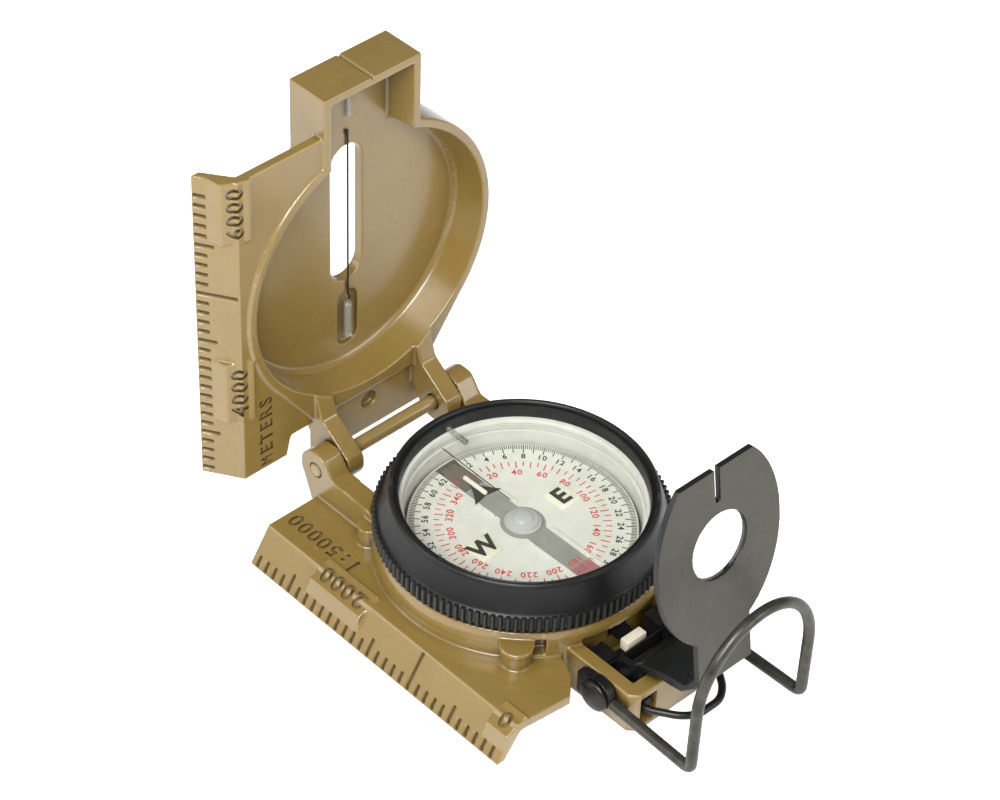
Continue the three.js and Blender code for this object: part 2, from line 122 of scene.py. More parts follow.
# bezel and dial
BEZEL_R = 25.5
BEZEL_LOW = 12.6
KNURL_TOP = 15.85
BEZEL_TOP = 21.03
BEZEL_RIM_R = 22.95
KNURL_RIBS = 124
GLASS_BORE = 21.15
GLASS_LOW, GLASS_HIGH = (corner.z for corner in node_box("bezel_glass"))
CRYSTAL_LOW, CRYSTAL_HIGH = (corner.z for corner in node_box("fixed_crystal"))
CARD_LOW, CARD_TOP = (corner.z for corner in node_box("dial_card"))
DIAL_R = 19.6
DIAL_HEADING = math.radians(1.2)
PRINT = 0.03

# rear sight and thumb loop
SIGHT_LEAN = math.radians(9.4)
SIGHT_REACH = 15.63
SIGHT_SHEET = 1.2
SIGHT_FOOT = 5.96
SIGHT_NECK = 6.1
SIGHT_HALF_X, SIGHT_HALF_Z = 13.8, 18.5
SIGHT_CENTRE = SIGHT_FOOT + 25.5
SIGHT_TOP = SIGHT_FOOT + 40.4
LENS_Z = SIGHT_FOOT + 25.65
LENS_R = 6.1
LOOP_WIRE = 1.0
LOOP_HALF = 12.95
LOOP_Y = -53.0
LOOP_SHOULDER = 18.0
LOOP_ARCH = 32.3

# camera: how the reference view looks at the object
VIEW_AZIMUTH = math.radians(-45.52)
VIEW_ELEVATION = math.radians(41.78)
VIEW_ROLL = math.radians(3.279)
VIEW_PLACE = Vector((-297.98, -285.54, 409.33))
VIEW_LENS = 122.09


# ---- mesh toolkit ------------------------------------------------------------------------------------
def linked(mesh):
    obj = bpy.data.objects.new(mesh.name, mesh)
    bpy.context.scene.collection.objects.link(obj)
    return obj


def solid(bm):
    """A temporary object from a bmesh whose faces form closed bodies."""
    bmesh.ops.remove_doubles(bm, verts=bm.verts, dist=1e-5)
    bmesh.ops.recalc_face_normals(bm, faces=bm.faces)
    mesh = bpy.data.meshes.new("work")
    bm.to_mesh(mesh)
    bm.free()
    return linked(mesh)


def along_axis(axis, a, b, c):
    """(a, b) in the plane across the axis and c along it, as x, y, z."""
    return {"X": (c, a, b), "Y": (a, c, b), "Z": (a, b, c)}[axis]


def prism(axis, outline, low, high):
    bm = bmesh.new()
    ends = [[bm.verts.new(along_axis(axis, a, b, c)) for a, b in outline] for c in (low, high)]
    for end in ends:
        bm.faces.new(end)
    count = len(outline)
    for i in range(count):
        j = (i + 1) % count
        bm.faces.new((ends[0][i], ends[0][j], ends[1][j], ends[1][i]))
    return solid(bm)


def block(x0, x1, y0, y1, z0, z1):
    return prism("Z", [(x0, y0), (x1, y0), (x1, y1), (x0, y1)], z0, z1)


def lathe(profile, axis="Z", centre=(0.0, 0.0), sides=144):
    """A body turned from (radius, place along the axis) points, ending on the axis or closing on itself."""
    bm = bmesh.new()
    rings = []
    for radius, along in profile:
        if radius < 1e-6:
            rings.append([bm.verts.new(along_axis(axis, centre[0], centre[1], along))])
            continue
        ring = []
        for k in range(sides):
            turn = 2 * math.pi * k / sides
            a = centre[0] + radius * math.cos(turn)
            b = centre[1] + radius * math.sin(turn)
            ring.append(bm.verts.new(along_axis(axis, a, b, along)))
        rings.append(ring)
    for ring, after in zip(rings, rings[1:] + rings[:1]):
        if len(ring) == 1 and len(after) == 1:
            continue
        for k in range(sides):
            m = (k + 1) % sides
            if len(ring) == 1:
                bm.faces.new((ring[0], after[k], after[m]))
            elif len(after) == 1:
                bm.faces.new((ring[k], ring[m], after[0]))
            else:
                bm.faces.new((ring[k], ring[m], after[m], after[k]))
    return solid(bm)


def rod(axis, centre, low, high, radius, chamfer=0.0, sides=48):
    """A round bar with chamfered ends."""
    inner = radius - chamfer
    profile = [(0, low), (inner, low), (radius, low + chamfer)]
    profile += [(radius, high - chamfer), (inner, high), (0, high)]
    return lathe(profile, axis, centre, sides)


def smooth_path(points, reach, steps=8):
    """The polyline through points with each inner corner rounded over the given reach."""
    points = [Vector(p) for p in points]
    path = [points[0]]
    for before, corner, after in zip(points, points[1:], points[2:]):
        room = min(reach, (corner - before).length * 0.49, (after - corner).length * 0.49)
        start = corner + (before - corner).normalized() * room
        end = corner + (after - corner).normalized() * room
        for k in range(steps + 1):
            t = k / steps
            path.append(start * (1 - t) ** 2 + corner * 2 * t * (1 - t) + end * t ** 2)
    path.append(points[-1])
    return path


def tube(path, radius, sides=20):
    """A round wire along a path, with slightly rounded ends."""
    path = [Vector(p) for p in path]
    first, last = (path[1] - path[0]).normalized(), (path[-1] - path[-2]).normalized()
    stations = [(path[0], 0.6), (path[0] + first * radius * 0.3, 1.0)]
    stations += [(p, 1.0) for p in path[1:-1]]
    stations += [(path[-1] - last * radius * 0.3, 1.0), (path[-1], 0.6)]
    bm = bmesh.new()
    heading = first
    side = heading.orthogonal().normalized()
    rings = []
    for i, (place, scale) in enumerate(stations):
        before = stations[max(i - 1, 0)][0]
        after = stations[min(i + 1, len(stations) - 1)][0]
        ahead = (after - before).normalized()
        side = (heading.rotation_difference(ahead) @ side).normalized()
        heading = ahead
        other = heading.cross(side)
        ring = []
        for k in range(sides):
            turn = 2 * math.pi * k / sides
            spoke = side * math.cos(turn) + other * math.sin(turn)
            ring.append(bm.verts.new(place + spoke * radius * scale))
        rings.append(ring)
    for ring, after in zip(rings, rings[1:]):
        for k in range(sides):
            m = (k + 1) % sides
            bm.faces.new((ring[k], ring[m], after[m], after[k]))
    bm.faces.new(rings[0])
    bm.faces.new(rings[-1])
    return solid(bm)


def arc(a, b, radius, start, end, steps):
    """Points on an arc, angles in degrees."""
    points = []
    for k in range(steps + 1):
        turn = math.radians(start + (end - start) * k / steps)
        points.append((a + radius * math.cos(turn), b + radius * math.sin(turn)))
    return points


def capsule(a, low, high, half, steps=12):
    """The outline of an upright slot with round ends."""
    return arc(a, high - half, half, 0, 180, steps) + arc(a, low + half, half, 180, 360, steps)


def drop(*objects):
    for obj in objects:
        mesh = obj.data
        bpy.data.objects.remove(obj)
        bpy.data.meshes.remove(mesh)


def settle(obj):
    """Applies an object's modifiers to its mesh."""
    graph = bpy.context.evaluated_depsgraph_get()
    mesh = bpy.data.meshes.new_from_object(obj.evaluated_get(graph))
    obj.modifiers.clear()
    old = obj.data
    obj.data = mesh
    bpy.data.meshes.remove(old)
    return obj


def combine(operation, first, others):
    for other in others:
        step = first.modifiers.new("step", "BOOLEAN")
        step.operation = operation
        step.solver = "MANIFOLD"
        step.object = other
    settle(first)
    drop(*others)
    return first


def union(first, *others):
    return combine("UNION", first, others)


def cut(first, *others):
    return combine("DIFFERENCE", first, others)


def gather(objects):
    """One object that holds several bodies that don't touch."""
    bm = bmesh.new()
    for obj in objects:
        bm.from_mesh(obj.data)
    drop(*objects)
    return solid(bm)


def turned(obj, matrix):
    obj.data.transform(matrix)
    return obj


def cast(obj, grain, passes):
    """Even remesh and smoothing, which give every edge the small radius of a casting under paint."""
    even = obj.modifiers.new("even", "REMESH")
    even.mode = "VOXEL"
    even.voxel_size = grain
    soften = obj.modifiers.new("soften", "SMOOTH")
    soften.factor = 0.5
    soften.iterations = passes
    return settle(obj)


def bevelled(obj, width):
    bevel = obj.modifiers.new("bevel", "BEVEL")
    bevel.width = width
    bevel.segments = 2
    bevel.limit_method = "ANGLE"
    bevel.angle_limit = math.radians(30)
    return settle(obj)


def piece(obj, name, body, material, replaces=(), sharp=38):
    """Finishes a work object: metres, smooth shading, material, and the body it rides on."""
    obj.data.transform(Matrix.Scale(MM, 4))
    obj.name = name
    obj.data.name = name
    obj.data.shade_smooth()
    obj.data.set_sharp_from_angle(angle=math.radians(sharp))
    obj.data.materials.clear()
    obj.data.materials.append(material)
    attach(obj, body)
    if replaces:
        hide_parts(*replaces)
    return obj


GLYPHS = {}


def font_mesh(character, weight):
    """One character, its strokes widened by weight, 1 high at size 1, lying in XY and centred."""
    curve = bpy.data.curves.new("glyph", "FONT")
    curve.body = character
    curve.align_x = "CENTER"
    curve.align_y = "CENTER"
    curve.extrude = 0.5
    curve.offset = weight
    curve.resolution_u = 3
    holder = bpy.data.objects.new("glyph", curve)
    bpy.context.scene.collection.objects.link(holder)
    graph = bpy.context.evaluated_depsgraph_get()
    mesh = bpy.data.meshes.new_from_object(holder.evaluated_get(graph))
    bpy.data.objects.remove(holder)
    bpy.data.curves.remove(curve)
    return mesh


# how much narrower than the font a letter is drawn, and letters whose widened outline would cross itself
NARROWED = {"M": 0.72}
NOT_WIDENED = "M"


def glyph(character, weight):
    if character in NOT_WIDENED:
        weight = 0.0
    if (character, weight) not in GLYPHS:
        GLYPHS[character, weight] = font_mesh(character, weight)
    return GLYPHS[character, weight]


def lettering(text, size, pitch, depth, place, reading, outward, wide=1.0, weight=0.018):
    """Characters as thin bodies: reading is the way the line runs, outward the way it faces."""
    reading, outward = Vector(reading).normalized(), Vector(outward).normalized()
    upward = outward.cross(reading)
    bm = bmesh.new()
    for i, character in enumerate(text):
        shift = (i - (len(text) - 1) / 2) * pitch
        origin = Vector(place) + reading * shift
        start = len(bm.verts)
        bm.from_mesh(glyph(character, weight))
        bm.verts.ensure_lookup_table()
        for vert in bm.verts[start:]:
            local = vert.co
            squeeze = NARROWED.get(character, 1.0) * size * wide
            raised = upward * local.y * size + outward * local.z * depth
            vert.co = origin + reading * local.x * squeeze + raised
    return solid(bm)


# ---- materials ---------------------------------------------------------------------------------------
def srgb(r, g, b):
    def linear(value):
        value /= 255
        return value / 12.92 if value <= 0.04045 else ((value + 0.055) / 1.055) ** 2.4
    return (linear(r), linear(g), linear(b), 1.0)


class Nodes:
    """A small helper that adds and links shader nodes."""

    def __init__(self, name):
        self.material = bpy.data.materials.new(name)
        self.material.use_nodes = True
        self.tree = self.material.node_tree
        self.tree.nodes.clear()
        self.output = self.tree.nodes.new("ShaderNodeOutputMaterial")
        self.coords = self.tree.nodes.new("ShaderNodeTexCoord").outputs["Object"]

    def add(self, kind, inputs=None, **settings):
        node = self.tree.nodes.new(kind)
        for key, value in settings.items():
            setattr(node, key, value)
        for key, value in (inputs or {}).items():
            if isinstance(value, bpy.types.NodeSocket):
                self.tree.links.new(value, node.inputs[key])
            else:
                node.inputs[key].default_value = value
        return node

    def noise(self, size_mm, detail=3.0, stretch=None):
        """Noise with features about size_mm across."""
        vector = self.coords
        if stretch:
            mapping = self.add("ShaderNodeMapping", {"Vector": vector, "Scale": stretch})
            vector = mapping.outputs["Vector"]
        inputs = {"Vector": vector, "Scale": 1 / (size_mm * MM), "Detail": detail}
        return self.add("ShaderNodeTexNoise", inputs).outputs["Fac"]

    def spread(self, value, low, high):
        """Maps the middle of a noise's range onto low..high."""
        inputs = {"Value": value, "From Min": 0.3, "From Max": 0.7, "To Min": low, "To Max": high}
        return self.add("ShaderNodeMapRange", inputs).outputs["Result"]

    def mix(self, amount, first, second):
        node = self.add("ShaderNodeMix", data_type="RGBA")
        for key, value in (("Factor", amount), (6, first), (7, second)):
            socket = node.inputs[key]
            if isinstance(value, bpy.types.NodeSocket):
                self.tree.links.new(value, socket)
            else:
                socket.default_value = value
        return node.outputs[2]

    def bump(self, height, strength, depth_mm):
        inputs = {"Height": height, "Strength": strength, "Distance": depth_mm * MM}
        return self.add("ShaderNodeBump", inputs).outputs["Normal"]

    def shade(self, **inputs):
        values = {name.replace("_", " "): value for name, value in inputs.items()}
        shader = self.add("ShaderNodeBsdfPrincipled", values)
        self.tree.links.new(shader.outputs["BSDF"], self.output.inputs["Surface"])
        return self.material


def worn_edge(nodes, low, high, most):
    """How much lighter the surface is drawn here: 0 in creases and on flats, up to most on edges."""
    geometry = nodes.add("ShaderNodeNewGeometry")
    inputs = {"Value": geometry.outputs["Pointiness"], "From Min": low, "From Max": high, "To Max": most}
    return nodes.add("ShaderNodeMapRange", inputs).outputs["Result"]


def shaded_corner(nodes, reach_mm):
    """1 on open surfaces, falling to 0 deep in corners: the mask for painted shade in corners, creases and
    grooves.
    """
    occlusion = nodes.add("ShaderNodeAmbientOcclusion", {"Distance": reach_mm * MM}, samples=6)
    inputs = {"Value": occlusion.outputs["AO"], "From Min": 0.25, "From Max": 0.85}
    return nodes.add("ShaderNodeMapRange", inputs).outputs["Result"]


def sand_paint():
    """Semi-gloss sand paint: slight mottling, painted shade in corners, a painted highlight on edges and
    faint orange peel.
    """
    nodes = Nodes("sand_paint")
    body = nodes.mix(nodes.spread(nodes.noise(9.0), 0, 1), srgb(126, 103, 49), srgb(120, 97, 44))
    body = nodes.mix(nodes.spread(nodes.noise(1.3), 0, 0.35), body, srgb(131, 108, 55))
    # painted highlight: edges are drawn lighter, standing in for the light caught on their rounding
    body = nodes.mix(worn_edge(nodes, 0.51, 0.58, 0.35), body, srgb(166, 146, 98))
    # painted shade: corners, creases and grooves are darkened towards dark brown by ambient occlusion
    body = nodes.mix(shaded_corner(nodes, 2.2), srgb(50, 34, 10), body)
    peel = nodes.bump(nodes.noise(0.6, 2.0), 0.2, 0.012)
    rough = nodes.spread(nodes.noise(4.0), 0.32, 0.38)
    return nodes.shade(Base_Color=body, Roughness=rough, Normal=peel, Specular_IOR_Level=0.6,
                       Coat_Weight=0.8, Coat_Roughness=0.16)


def satin_black():
    """Satin black coating, drawn a little grey on its edges."""
    nodes = Nodes("satin_black")
    tone = nodes.mix(nodes.spread(nodes.noise(6.0), 0, 1), srgb(11, 12, 12), srgb(17, 18, 18))
    # edges are drawn a lighter grey by the edge mask
    tone = nodes.mix(worn_edge(nodes, 0.52, 0.62, 0.5), tone, srgb(62, 64, 62))
    grain = nodes.bump(nodes.noise(0.18, 2.0), 0.3, 0.01)
    rough = nodes.spread(nodes.noise(2.5), 0.34, 0.44)
    return nodes.shade(Base_Color=tone, Roughness=rough, Normal=grain, Specular_IOR_Level=0.34)


def grey_coat(name, dark, light, rough_low, rough_high, metal):
    """Coated or blackened steel: fine directional grain and a little mottling."""
    nodes = Nodes(name)
    tone = nodes.mix(nodes.spread(nodes.noise(3.0), 0, 1), dark, light)
    streak = nodes.noise(0.25, 2.0, stretch=(1.0, 1.0, 0.15))
    tone = nodes.mix(nodes.spread(streak, 0, 0.3), tone, light)
    grain = nodes.bump(streak, 0.2, 0.01)
    rough = nodes.spread(nodes.noise(1.2), rough_low, rough_high)
    return nodes.shade(Base_Color=tone, Roughness=rough, Normal=grain, Metallic=metal)


def sight_blacking():
    """Grey coat on the sight, with painted shade: drawn darker on its edges and where it faces up or to the
    side.
    """
    nodes = Nodes("sight_coat_painted_shade")
    tone = nodes.mix(nodes.spread(nodes.noise(3.0), 0, 1), srgb(57, 54, 46), srgb(63, 60, 51))
    # painted shade: faces turned up or to the sides are drawn near black, standing in for the dark they
    # reflect and the shadow they sit in
    geometry = nodes.add("ShaderNodeNewGeometry")
    facing = nodes.add("ShaderNodeSeparateXYZ", {0: geometry.outputs["Normal"]})
    across = nodes.add("ShaderNodeMath", {0: facing.outputs["X"]}, operation="ABSOLUTE").outputs[0]
    most = nodes.add("ShaderNodeMath", {0: facing.outputs["Z"], 1: across}, operation="MAXIMUM")
    inputs = {"Value": most.outputs[0], "From Min": 0.55, "From Max": 0.8}
    dark = nodes.add("ShaderNodeMapRange", inputs).outputs["Result"]
    tone = nodes.mix(dark, tone, srgb(20, 23, 22))
    grain = nodes.bump(nodes.noise(0.25, 2.0), 0.15, 0.01)
    rough = nodes.spread(nodes.noise(1.2), 0.36, 0.44)
    return nodes.shade(Base_Color=tone, Roughness=rough, Normal=grain, Metallic=0.2)


def bare_metal(name, dark, light, rough):
    """Turned or rolled bare metal with fine tool marks."""
    nodes = Nodes(name)
    marks = nodes.noise(0.12, 2.0, stretch=(1.0, 1.0, 6.0))
    tone = nodes.mix(nodes.spread(marks, 0, 1), dark, light)
    grain = nodes.bump(marks, 0.2, 0.01)
    return nodes.shade(Base_Color=tone, Roughness=rough, Normal=grain, Metallic=1.0)


def moulded(name, dark, light, rough, weight=0.0):
    """Moulded or printed plastic with slight cloudiness and a fine surface."""
    nodes = Nodes(name)
    tone = nodes.mix(nodes.spread(nodes.noise(2.5), 0, 1), dark, light)
    grain = nodes.bump(nodes.noise(0.25, 2.0), 0.1, 0.01)
    return nodes.shade(Base_Color=tone, Roughness=rough, Normal=grain, Subsurface_Weight=weight,
                       Subsurface_Radius=(0.001, 0.001, 0.0008))


def clear(name, tint, gloss=0.04, haze=0.0):
    """Thin clear glass or plastic: light passes straight through, with a reflection at grazing angles."""
    nodes = Nodes(name)
    ripple = nodes.bump(nodes.noise(7.0, 1.0), 0.04, 0.05)
    through = nodes.add("ShaderNodeBsdfTransparent", {"Color": tint})
    shine = nodes.add("ShaderNodeBsdfGlossy", {"Roughness": gloss, "Normal": ripple})
    rim = nodes.add("ShaderNodeFresnel", {"IOR": 1.45, "Normal": ripple}).outputs["Fac"]
    inside = nodes.add("ShaderNodeNewGeometry").outputs["Backfacing"]
    outside = nodes.add("ShaderNodeMath", {0: 1.0, 1: inside}, operation="SUBTRACT").outputs[0]
    rim = nodes.add("ShaderNodeMath", {0: rim, 1: outside}, operation="MULTIPLY").outputs[0]
    surface = nodes.add("ShaderNodeMixShader", {0: rim, 1: through.outputs[0], 2: shine.outputs[0]})
    if haze:
        fog = nodes.add("ShaderNodeBsdfDiffuse", {"Color": (0.9, 0.9, 0.86, 1.0)})
        surface = nodes.add("ShaderNodeMixShader", {0: haze, 1: surface.outputs[0], 2: fog.outputs[0]})
    nodes.tree.links.new(surface.outputs[0], nodes.output.inputs["Surface"])
    return nodes.material


PAINT = sand_paint()
BLACK = satin_black()
SIGHT_SHADED = sight_blacking()
LOOP_COAT = grey_coat("loop_coat", srgb(48, 48, 43), srgb(76, 75, 68), 0.3, 0.42, 0.6)
BLACK_STEEL = grey_coat("black_steel", srgb(26, 25, 25), srgb(46, 44, 43), 0.28, 0.4, 0.6)
STEEL = bare_metal("bright_steel", (0.45, 0.45, 0.44, 1), (0.62, 0.62, 0.6, 1), 0.3)
BRASS = bare_metal("turned_brass", (0.55, 0.4, 0.16, 1), (0.75, 0.58, 0.27, 1), 0.3)
ALUMINIUM = bare_metal("satin_aluminium", (0.5, 0.5, 0.5, 1), (0.66, 0.66, 0.66, 1), 0.42)
CARD = moulded("dial_card_white", srgb(214, 213, 202), srgb(224, 223, 213), 0.4, weight=0.1)
WELL = moulded("well_white", srgb(208, 208, 199), srgb(218, 218, 210), 0.5)
INK = moulded("print_black", srgb(30, 30, 26), srgb(44, 43, 38), 0.5)
RED_INK = moulded("print_red", srgb(196, 62, 62), srgb(214, 84, 82), 0.5)
DARK_MARK = moulded("arrow_dark", srgb(44, 46, 38), srgb(58, 60, 50), 0.4)
LUMINOUS = moulded("luminous_cream", srgb(226, 223, 202), srgb(234, 232, 214), 0.4, weight=0.2)
NYLON = moulded("cream_nylon", srgb(206, 198, 176), srgb(226, 219, 200), 0.45, weight=0.3)
NORTH_PRINT = moulded("print_dark_grey", srgb(104, 98, 92), srgb(118, 108, 100), 0.5)
SOUTH_PRINT = moulded("print_grey_red", srgb(160, 108, 110), srgb(172, 120, 120), 0.5)
MAGNET = grey_coat("magnet_grey", srgb(150, 150, 144), srgb(166, 166, 160), 0.4, 0.5, 0.2)
GLASS = clear("window_glass", (0.995, 1.0, 0.995, 1))
CRYSTAL = clear("crystal_glass", (0.995, 0.998, 0.995, 1))
JEWEL = clear("jewel_plastic", (1, 1, 1, 1), 0.06, haze=0.5)
VIAL_GLASS = clear("vial_glass", (0.95, 0.96, 0.94, 1), 0.05, haze=0.06)


# ---- ruler features shared by base and cover ---------------------------------------------------------
# Each is drawn in the base's axes, with the hinge end at +Y. The cover's copies continue past the hinge and
# are then turned upright about it.
UPRIGHT = (
    Matrix.Translation(HINGE)
    @ Matrix.Rotation(math.radians(90), 4, "X")
    @ Matrix.Translation(-HINGE)
)


def reclined(obj):
    """The open cover leans back a little past upright."""
    turn = Matrix.Rotation(-COVER_LEAN, 4, "X")
    return turned(obj, Matrix.Translation(HINGE) @ turn @ Matrix.Translation(-HINGE))


def slope_point(distance, depth=0.0):
    """(x, z) at a distance up the slope from the sharp edge, and a depth below its surface."""
    x = EDGE_X + SLOPE_X * distance + SLOPE_Z * depth
    z = EDGE_Z + SLOPE_Z * distance - SLOPE_X * depth
    return x, z


def tick_cutter(y, length):
    """A round-ended groove across the ruler's slope, with sloping sides and a softened rim."""
    levels = []
    bm = bmesh.new()
    for depth, half in ((0.6, 0.2), (0.1, 0.42), (0.0, 0.52), (-0.3, 0.52)):
        outline = arc(length - 0.5, 0, half, -90, 90, 6) + arc(TICK_START + 0.5, 0, half, 90, 270, 6)
        ring = []
        for distance, side in outline:
            x, z = slope_point(distance, depth)
            ring.append(bm.verts.new((x, y + side, z)))
        levels.append(ring)
    bm.faces.new(levels[0])
    bm.faces.new(levels[-1])
    count = len(levels[0])
    for ring, after in zip(levels, levels[1:]):
        for i in range(count):
            j = (i + 1) % count
            bm.faces.new((ring[i], ring[j], after[j], after[i]))
    return solid(bm)


def ruler_cutters(first, last):
    """Grooves number first to last, counted in hundreds of metres from the lens end of the base."""
    cutters = []
    for number in range(first, last + 1):
        kind = "long" if number % 40 == 10 else "medium" if number % 10 == 5 else "short"
        cutters.append(tick_cutter(FIRST_TICK + number * TICK_PITCH, TICK_LENGTHS[kind]))
    return gather(cutters)


PAD_HALF = 6.3
ZERO_PAD = 5.0
TOP_PAD = 12.4
PAD_TOP = (FOLD_X + 2.2, FLAT_Z + 0.55)
PAD_CORNER = (-30.7, 5.45)
PAD_FOOT = slope_point(2.7, -0.05)
DIGIT_SIZE = 3.95
DIGIT_PITCH = 2.64
DIGIT_WIDE = 1.15
DIGIT_WEIGHT = 0.03
ENGRAVING = 0.36


def number_pad(y0, y1):
    """A raised block on the slope that carries a number."""
    outline = [PAD_TOP, PAD_CORNER, PAD_FOOT, slope_point(3.2, 1.0), (FOLD_X + 1.1, FLAT_Z - 0.8)]
    outline.append((PAD_TOP[0] + 0.4, FLAT_Z - 0.8))
    return prism("Y", outline, y0, y1)


def pad_number(text, y):
    """Cutter for a number on a pad's sloping face, read towards the hinge."""
    face = Vector((PAD_TOP[0] - PAD_CORNER[0], 0, PAD_TOP[1] - PAD_CORNER[1])).normalized()
    outward = Vector((-face.z, 0, face.x))
    place = Vector(((PAD_TOP[0] + PAD_CORNER[0]) / 2, y, (PAD_TOP[1] + PAD_CORNER[1]) / 2))
    return lettering(text, DIGIT_SIZE, DIGIT_PITCH, 2 * ENGRAVING, place, (0, 1, 0), outward,
                     DIGIT_WIDE, DIGIT_WEIGHT)


def flat_lettering(text, x, y, size, pitch, wide):
    """Cutter for characters in the flat beside the fold, read towards the hinge."""
    return lettering(text, size, pitch, 2 * ENGRAVING, (x, y, FLAT_Z), (0, 1, 0), (0, 0, 1),
                     wide, DIGIT_WEIGHT)


# ---- base --------------------------------------------------------------------------------------------
def wing(y0, y1, footprint):
    section = [
        (EDGE_X, EDGE_Z), (EDGE_X + WING_SHEET, EDGE_Z), (FOLD_X + 1.1, FLAT_Z - WING_SHEET),
        (-12, FLAT_Z - WING_SHEET), (-12, FLAT_Z), (FOLD_X, FLAT_Z),
    ]
    return combine("INTERSECT", prism("Y", section, y0, y1), [prism("Z", footprint, -1, FLAT_Z + 1)])


def base_body():
    """Round body: slightly flared wall, a lip under the bezel, and the neck that carries it."""
    return lathe([
        (0, 0), (24.9, 0), (25.6, 0.7), (25.7, 4.0), (25.35, 7.4), (25.2, 8.6), (25.3, 9.2),
        (25.3, 10.7), (24.9, BODY_TOP), (NECK_R, BODY_TOP), (NECK_R, NECK_TOP), (0, NECK_TOP),
    ])


def hinge_arm(side):
    inner, outer = 13.4 * side, 17.4 * side
    outline = [(15, FLAT_Z - WING_SHEET), (HINGE.y + 1, FLAT_Z - WING_SHEET)]
    outline += arc(HINGE.y, HINGE.z, 3.8, -30, 122, 24)
    outline += [(28.9, 12.7), (15, 12.2)]
    arm = prism("X", outline, min(inner, outer), max(inner, outer))
    clear_bezel = rod("Z", (0, 0), BODY_TOP, 20, BEZEL_R + 0.3, sides=96)
    return cut(arm, clear_bezel)


def wall_boss(angle, radius, top, cap=0.0):
    """A half-round boss that runs up the body's wall from the wing, with a flat cap on some."""
    turn = math.radians(angle)
    centre = ((BODY_R + 0.7) * math.cos(turn), (BODY_R + 0.7) * math.sin(turn))
    profile = [(0, FLAT_Z - 1), (radius, FLAT_Z - 1), (radius, top - 1.2), (radius + cap, top - 1.0),
               (radius + cap, top), (0, top)]
    return lathe(profile, "Z", centre, 40)


def sight_frame():
    """The frame at the lens end, before its inside and pockets are cut."""
    half, end, corner = FRAME_HALF, FRAME_END, 1.4
    outline = [(-half, -18), (-half, end + corner), (-half + corner, end)]
    outline += [(half - corner, end), (half, end + corner), (half, -18)]
    return prism("Z", outline, 0, FRAME_TOP)


def base_shell():
    footprint = [
        (EDGE_X, WING_START), (FOLD_X, WING_START), (-17.6, -30.0), (-13.9, -26.6), (-12, -22),
        (-12, WING_END), (EDGE_X, WING_END),
    ]
    middle = FIRST_TICK + 20 * TICK_PITCH
    shell = union(
        base_body(), wing(WING_START - 2, WING_END, footprint), hinge_arm(-1), hinge_arm(1), sight_frame(),
        wall_boss(134, 2.0, 10.6), wall_boss(-135.5, 2.6, 10.9, 0.45),
        number_pad(WING_START, WING_START + ZERO_PAD), number_pad(middle - PAD_HALF, middle + PAD_HALF),
    )
    slot_turn = Matrix.Rotation(math.radians(-127.4), 4, "Z")
    spring_slot = turned(block(23.2, 28.0, -1.3, 1.3, 7.4, 10.8), slot_turn)
    inside = FRAME_INNER
    cutters = [
        rod("Z", (0, 0), 1.8, NECK_TOP + 1, WELL_R, sides=144),
        rod("Z", (0, 0), SEAT_Z, NECK_TOP + 1, SEAT_R, sides=144),
        rod("Z", (0, 0), -1, 0.75, 19.4, sides=144),
        block(-inside, inside, BAR_BACK, -23.2, FRAME_FLOOR, FRAME_TOP + 1),
        block(-2.1, 2.1, -26, -20, 4.9, 7.2),
        block(-13.4, 13.4, 26.2, 40, 4, 20),
        rod("X", (HINGE.y, HINGE.z), -18, 18, 1.45),
        rod("X", (AXLE.y, AXLE.z), -13, 13, 1.4),
        block(-9.6, -5.9, FRAME_END - 1, BAR_BACK - 0.4, 0.9, 7.2),
        block(5.9, 9.6, FRAME_END - 1, BAR_BACK - 0.4, 0.9, 7.2),
        spring_slot,
    ]
    cut(shell, *cutters)
    cast(shell, 0.2, 5)
    return cut(
        shell,
        ruler_cutters(0, 29),
        pad_number("0", WING_START + 2.4),
        pad_number("2000", middle),
        flat_lettering("1:50000", -24.1, 22.9, 4.0, 2.45, 1.05),
    )


# ---- cover -------------------------------------------------------------------------------------------
def cover_plate():
    section = [
        (EDGE_X, COVER_EDGE), (FOLD_X, COVER_FACE), (0, COVER_FACE), (0, COVER_FACE + WING_SHEET),
        (FOLD_X + 1.1, COVER_FACE + WING_SHEET), (EDGE_X + WING_SHEET, COVER_EDGE),
    ]
    outline = [
        (EDGE_X, PLATE_BOTTOM), (-19.0, PLATE_BOTTOM), (-18.0, PLATE_BOTTOM + 4), (-13.2, PLATE_BOTTOM + 4),
        (-9, PLATE_BOTTOM + 14), (-9, PLATE_TOP), (EDGE_X, PLATE_TOP),
    ]
    shape = prism("Y", outline, COVER_FACE - 1, COVER_EDGE + 1)
    return combine("INTERSECT", prism("Z", section, PLATE_BOTTOM, PLATE_TOP), [shape])


def cover_arm(side):
    low, high = sorted((9.7 * side, 13.2 * side))
    outline = arc(HINGE.y, HINGE.z, 4.0, 150, 345, 28)
    outline += [(41.0, 17.0), (44.8, 24.5), (COVER_RIM + 0.1, 24.5), (36.1, 19.0)]
    return prism("X", outline, low, high)


def cover_cup():
    return lathe([
        (0, COVER_RIM), (CUP_R - 0.2, COVER_RIM), (CUP_R, COVER_RIM + 0.2), (CUP_R, COVER_BACK - 0.8),
        (CUP_R - 0.8, COVER_BACK), (0, COVER_BACK),
    ], "Y", (0, CUP_Z))


